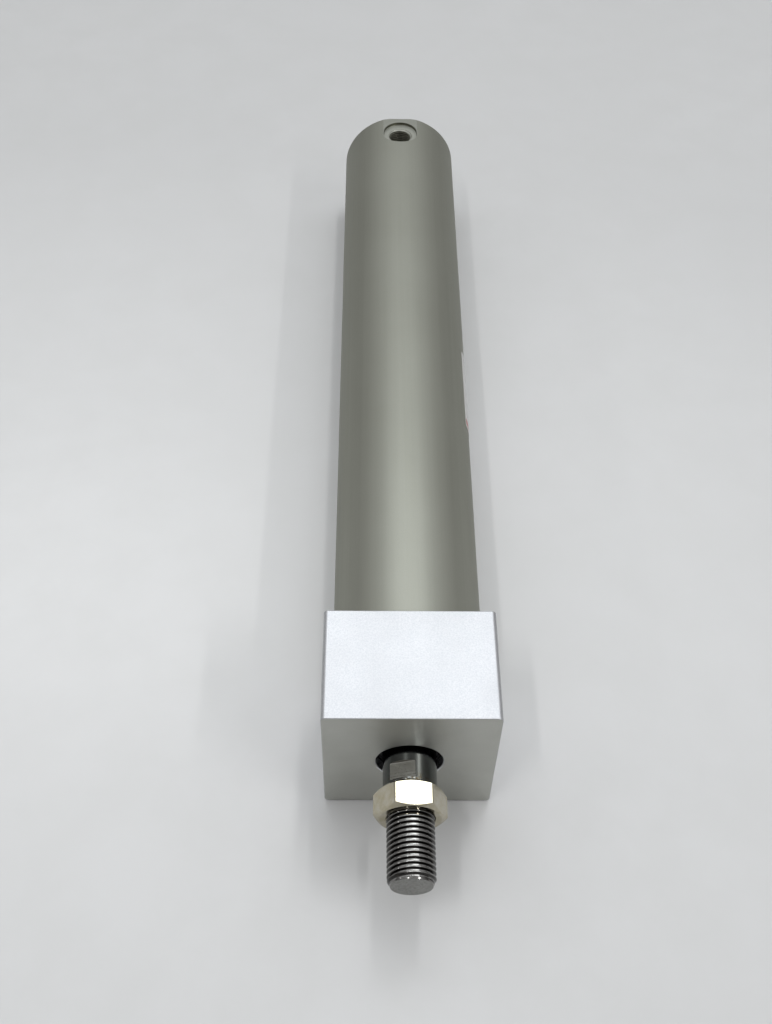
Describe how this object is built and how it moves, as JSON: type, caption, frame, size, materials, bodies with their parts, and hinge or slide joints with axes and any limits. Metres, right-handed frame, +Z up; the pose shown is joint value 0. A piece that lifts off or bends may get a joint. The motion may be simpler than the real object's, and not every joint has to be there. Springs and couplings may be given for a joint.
{
  "type": "pneumatic cylinder",
  "caption": "Double-acting pneumatic cylinder: slim round anodised barrel, square direct-mount rod cover, threaded piston rod with a lock nut.",
  "frame": {"origin": "centre of the rod cover's flat bottom face", "axes": "+Z up from that face, +Y along the cylinder axis towards the closed rear end (the rod leaves towards -Y), +X towards the side with the front port and the label"},
  "size_m": [0.0516, 0.3338, 0.0515],
  "materials": {
    "anodised_tube": "satin hard anodised, grey-green",
    "machined_cover": "fine machined, clear anodised",
    "chromed_rod": "ground and hard chromed",
    "nickel_nut": "nickel plated, warm",
    "inner_steel": "satin",
    "piston_aluminium": "turned",
    "bearing_bronze": "sintered bronze",
    "seal_rubber": "matt black nitrile",
    "wear_plastic": "matt filled PTFE",
    "magnet_plastic": "matt bonded magnet",
    "label_film": "semi-gloss polyester film, blank"
  },
  "bodies": {
    "barrel": {"barrel_tube": "anodised_tube", "rod_cover": "machined_cover", "rod_wiper": "seal_rubber", "rod_seal": "seal_rubber", "seal_retainer": "inner_steel", "rod_bushing": "bearing_bronze", "retaining_ring": "inner_steel", "tube_gasket": "seal_rubber", "front_bumper": "seal_rubber", "rear_bumper": "seal_rubber", "id_label": "label_film"},
    "piston_rings": {"piston_seal": "seal_rubber", "wear_ring": "wear_plastic"},
    "rod": {"piston": "piston_aluminium", "piston_magnet": "magnet_plastic", "piston_gasket": "seal_rubber", "piston_washer": "inner_steel", "piston_nut": "inner_steel", "piston_rod": "chromed_rod", "rod_end_nut": "nickel_nut"}
  },
  "joints": [
    {"name": "rod_slide", "type": "slide", "parent": "barrel", "child": "piston_rings", "axis": [0, -1, 0], "range_m": [0, 0.2]},
    {"name": "rod_turn", "type": "hinge", "parent": "piston_rings", "child": "rod", "pos_m": [0, 0.2, 0.02575], "axis": [0, -1, 0], "continuous": true}
  ]
}
